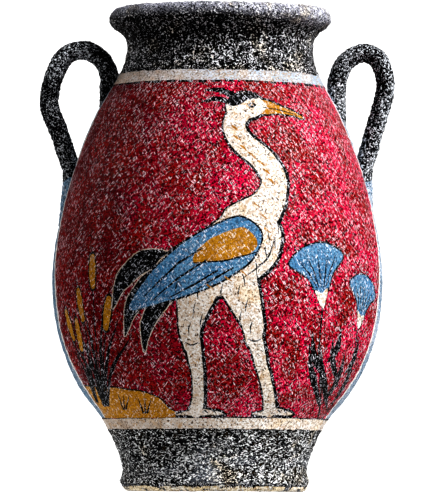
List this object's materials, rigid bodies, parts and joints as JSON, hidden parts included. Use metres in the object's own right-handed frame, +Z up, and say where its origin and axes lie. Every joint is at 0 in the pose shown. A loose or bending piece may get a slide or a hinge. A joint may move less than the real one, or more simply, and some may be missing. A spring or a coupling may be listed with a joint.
{
  "type": "two-handled amphora",
  "caption": "Painted clay jar with a wide belly, a short neck under a rolled lip, a solid round foot and a loop handle on each shoulder.",
  "frame": {"origin": "centre of the foot's underside, where the jar stands", "axes": "+Z up the jar's axis, -Y out of its painted front, and the handles on -X and +X"},
  "size_m": [0.1842, 0.1702, 0.25],
  "materials": {
    "painted_clay": "grainy painted clay with a faint sheen: deep red, black, cream, ochre and grey-blue"
  },
  "bodies": {
    "root": {"amphora": "painted_clay"}
  },
  "joints": []
}
